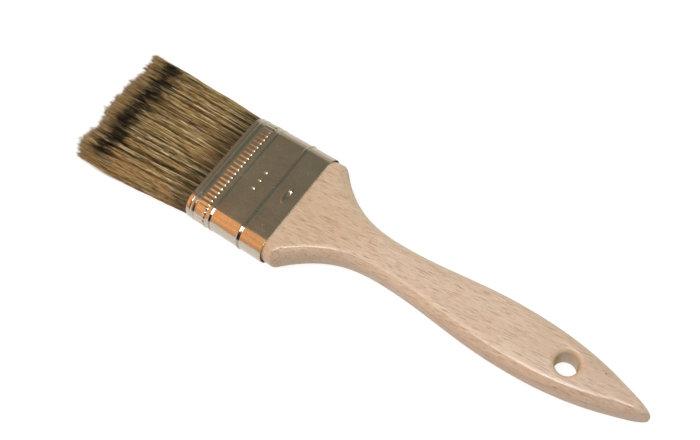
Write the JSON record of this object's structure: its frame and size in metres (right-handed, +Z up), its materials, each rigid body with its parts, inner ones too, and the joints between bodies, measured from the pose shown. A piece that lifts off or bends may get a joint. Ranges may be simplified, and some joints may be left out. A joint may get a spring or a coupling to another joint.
{
  "type": "flat paint brush",
  "caption": "Flat paint brush: wooden handle with a hanging hole, beaded sheet-metal ferrule and a springy tuft of natural bristle that bends to lay on paint or varnish.",
  "frame": {"origin": "under the middle of the brush, on the surface it lies on", "axes": "+X from the bristle tips to the tail of the handle, +Y across the width, +Z up through the thickness"},
  "size_m": [0.245, 0.0564, 0.0154],
  "materials": {
    "beech": "satin",
    "plated_steel": "gloss",
    "filler_wood": "matte",
    "resin": "gloss",
    "bristle": "matte"
  },
  "bodies": {
    "handle_and_ferrule": {"handle": "beech", "ferrule": "plated_steel", "filler_strip": "filler_wood", "resin_setting": "resin", "root_upper": "bristle", "root_lower": "bristle"},
    "bristles": {"tuft_upper": "bristle", "tuft_lower": "bristle"}
  },
  "joints": [
    {"name": "bristle_flex", "type": "hinge", "parent": "handle_and_ferrule", "child": "bristles", "pos_m": [-0.0705, 0, 0.0077], "axis": [0, 1, 0], "range_deg": [-35, 35], "stiffness_Nm_per_rad": 0.3}
  ]
}
